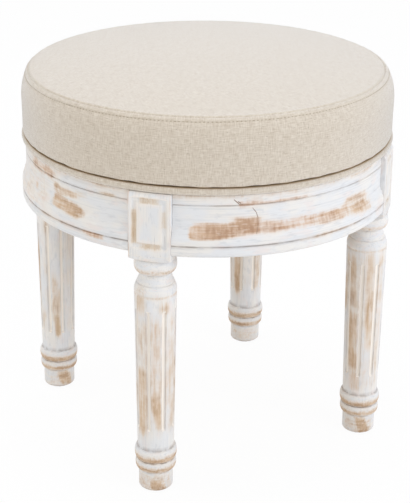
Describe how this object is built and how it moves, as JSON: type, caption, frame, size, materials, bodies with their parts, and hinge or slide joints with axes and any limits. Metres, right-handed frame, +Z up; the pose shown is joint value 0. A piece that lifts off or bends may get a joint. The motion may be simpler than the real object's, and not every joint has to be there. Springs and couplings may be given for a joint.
{
  "type": "upholstered swivel stool",
  "caption": "Round stool with a crowned, linen-covered seat that swivels on a moulded wooden apron, carried by turned and fluted legs in rubbed white paint.",
  "frame": {"origin": "on the floor, under the middle of the seat, on the swivel's axis", "axes": "+Z up; the legs stand on the diagonals of X and Y, and the apron's front rail faces -Y"},
  "size_m": [0.4264, 0.4264, 0.4502],
  "materials": {
    "painted_wood": "white paint, rubbed through to pale brown wood on edges and raised places, matt",
    "bare_wood": "bare softwood, sawn and unfinished",
    "plywood": "bare plywood",
    "linen": "natural linen, plain weave with slubs, matt",
    "foam": "open-cell seat foam",
    "zinc_steel": "zinc-plated pressed steel",
    "felt": "pressed felt"
  },
  "bodies": {
    "base": {"leg_front_left": "painted_wood", "foot_pad_front_left": "felt", "corner_block_front_left": "bare_wood", "leg_front_right": "painted_wood", "foot_pad_front_right": "felt", "corner_block_front_right": "bare_wood", "leg_back_right": "painted_wood", "foot_pad_back_right": "felt", "corner_block_back_right": "bare_wood", "leg_back_left": "painted_wood", "foot_pad_back_left": "felt", "corner_block_back_left": "bare_wood", "apron_rail_front": "painted_wood", "apron_rail_right": "painted_wood", "apron_rail_back": "painted_wood", "apron_rail_left": "painted_wood", "platform_board": "plywood", "platform_linen_wrap": "linen", "swivel_lower_plate": "zinc_steel", "rail_screw_front_left_a": "zinc_steel", "rail_screw_front_left_b": "zinc_steel", "platform_screw_front_left": "zinc_steel", "rail_screw_front_right_a": "zinc_steel", "rail_screw_front_right_b": "zinc_steel", "platform_screw_front_right": "zinc_steel", "rail_screw_back_right_a": "zinc_steel", "rail_screw_back_right_b": "zinc_steel", "platform_screw_back_right": "zinc_steel", "rail_screw_back_left_a": "zinc_steel", "rail_screw_back_left_b": "zinc_steel", "platform_screw_back_left": "zinc_steel", "lower_plate_screw_1": "zinc_steel", "lower_plate_screw_2": "zinc_steel", "lower_plate_screw_3": "zinc_steel", "lower_plate_screw_4": "zinc_steel"},
    "ball_cage": {"swivel_ball_cage": "zinc_steel"},
    "seat": {"seat_cover_top": "linen", "seat_cover_band": "linen", "seat_foam": "foam", "seat_board": "plywood", "swivel_upper_plate": "zinc_steel", "upper_plate_screw_1": "zinc_steel", "upper_plate_screw_2": "zinc_steel", "upper_plate_screw_3": "zinc_steel", "upper_plate_screw_4": "zinc_steel"}
  },
  "joints": [
    {"name": "seat_swivel", "type": "hinge", "parent": "base", "child": "seat", "pos_m": [0, 0, 0.3654], "axis": [0, 0, 1], "continuous": true},
    {"name": "cage_roll", "type": "hinge", "parent": "base", "child": "ball_cage", "pos_m": [0, 0, 0.3654], "axis": [0, 0, 1], "continuous": true}
  ],
  "couplings": [
    {"joint": "cage_roll", "follows": "seat_swivel", "ratio": 0.5}
  ]
}
